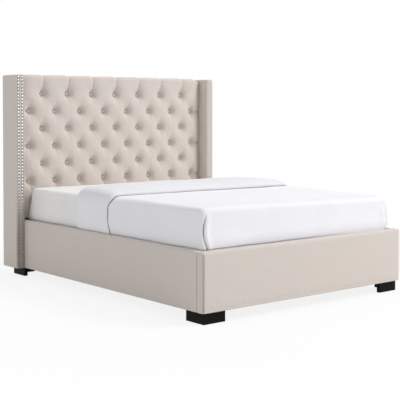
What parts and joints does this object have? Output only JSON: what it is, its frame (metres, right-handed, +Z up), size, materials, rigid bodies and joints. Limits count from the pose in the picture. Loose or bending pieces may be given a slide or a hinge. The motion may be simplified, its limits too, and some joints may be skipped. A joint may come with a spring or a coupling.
{
  "type": "upholstered headboard bed",
  "caption": "Upholstered bed with a deep button-tufted headboard between nailhead-trimmed wings, low padded rails, L-shaped feet, slats, mattress and turned-back quilt.",
  "frame": {"origin": "on the floor under the middle of the bed's outline", "axes": "+Y towards the headboard, +Z up, +X to the right as seen from the foot"},
  "size_m": [1.784, 2.178, 1.429],
  "materials": {
    "linen": "matte",
    "linen_button": "matte",
    "pewter": "satin",
    "black_wood": "satin",
    "plywood": "matte",
    "pine": "matte",
    "black_plastic": "matte",
    "zinc_steel": "satin",
    "black_webbing": "matte",
    "ticking": "matte",
    "sheet_cotton": "matte",
    "quilt_cotton": "matte"
  },
  "bodies": {
    "bed_frame": {"beam_hanger_foot": "zinc_steel", "beam_hanger_head": "zinc_steel", "centre_beam": "pine", "centre_leg_1": "pine", "centre_leg_2": "pine", "centre_leg_3": "pine", "centre_leg_bolts": "zinc_steel", "corner_bolts": "zinc_steel", "corner_brackets": "zinc_steel", "foot_screws": "zinc_steel", "footboard_board": "plywood", "footboard_cover": "linen", "footboard_foot_left": "black_wood", "footboard_foot_right": "black_wood", "hanger_screws": "zinc_steel", "headboard_back_panel": "linen", "headboard_bottom_rail": "pine", "headboard_foot_left": "black_wood", "headboard_foot_right": "black_wood", "headboard_middle_rail": "pine", "headboard_post_left": "pine", "headboard_post_right": "pine", "headboard_top_rail": "pine", "ledger_screws": "zinc_steel", "side_rail_board_left": "plywood", "side_rail_board_right": "plywood", "side_rail_cover_left": "linen", "side_rail_cover_right": "linen", "slat_01": "pine", "slat_02": "pine", "slat_03": "pine", "slat_04": "pine", "slat_05": "pine", "slat_06": "pine", "slat_07": "pine", "slat_08": "pine", "slat_09": "pine", "slat_10": "pine", "slat_11": "pine", "slat_12": "pine", "slat_13": "pine", "slat_ledger_left": "pine", "slat_ledger_right": "pine", "slat_tapes": "black_webbing", "tuft_buttons": "linen_button", "tufted_pad": "linen", "tufting_backer": "plywood", "wing_bolts": "zinc_steel", "wing_core_left": "plywood", "wing_core_right": "plywood", "wing_cover_left": "linen", "wing_cover_right": "linen", "wing_nailheads_left": "pewter", "wing_nailheads_right": "pewter"},
    "mattress": {"mattress": "ticking", "fitted_sheet": "sheet_cotton"},
    "quilt": {"quilt": "quilt_cotton"},
    "glide_1": {"levelling_glide_1": "black_plastic"},
    "glide_2": {"levelling_glide_2": "black_plastic"},
    "glide_3": {"levelling_glide_3": "black_plastic"}
  },
  "joints": [
    {"name": "mattress_lift", "type": "slide", "parent": "bed_frame", "child": "mattress", "axis": [0, 0, 1], "range_m": [0, 0.4]},
    {"name": "quilt_lift", "type": "slide", "parent": "mattress", "child": "quilt", "axis": [0, 0, 1], "range_m": [0, 0.35]},
    {"name": "glide_1_screw", "type": "slide", "parent": "bed_frame", "child": "glide_1", "axis": [0, 0, 1], "range_m": [-0.012, 0]},
    {"name": "glide_2_screw", "type": "slide", "parent": "bed_frame", "child": "glide_2", "axis": [0, 0, 1], "range_m": [-0.012, 0]},
    {"name": "glide_3_screw", "type": "slide", "parent": "bed_frame", "child": "glide_3", "axis": [0, 0, 1], "range_m": [-0.012, 0]}
  ]
}
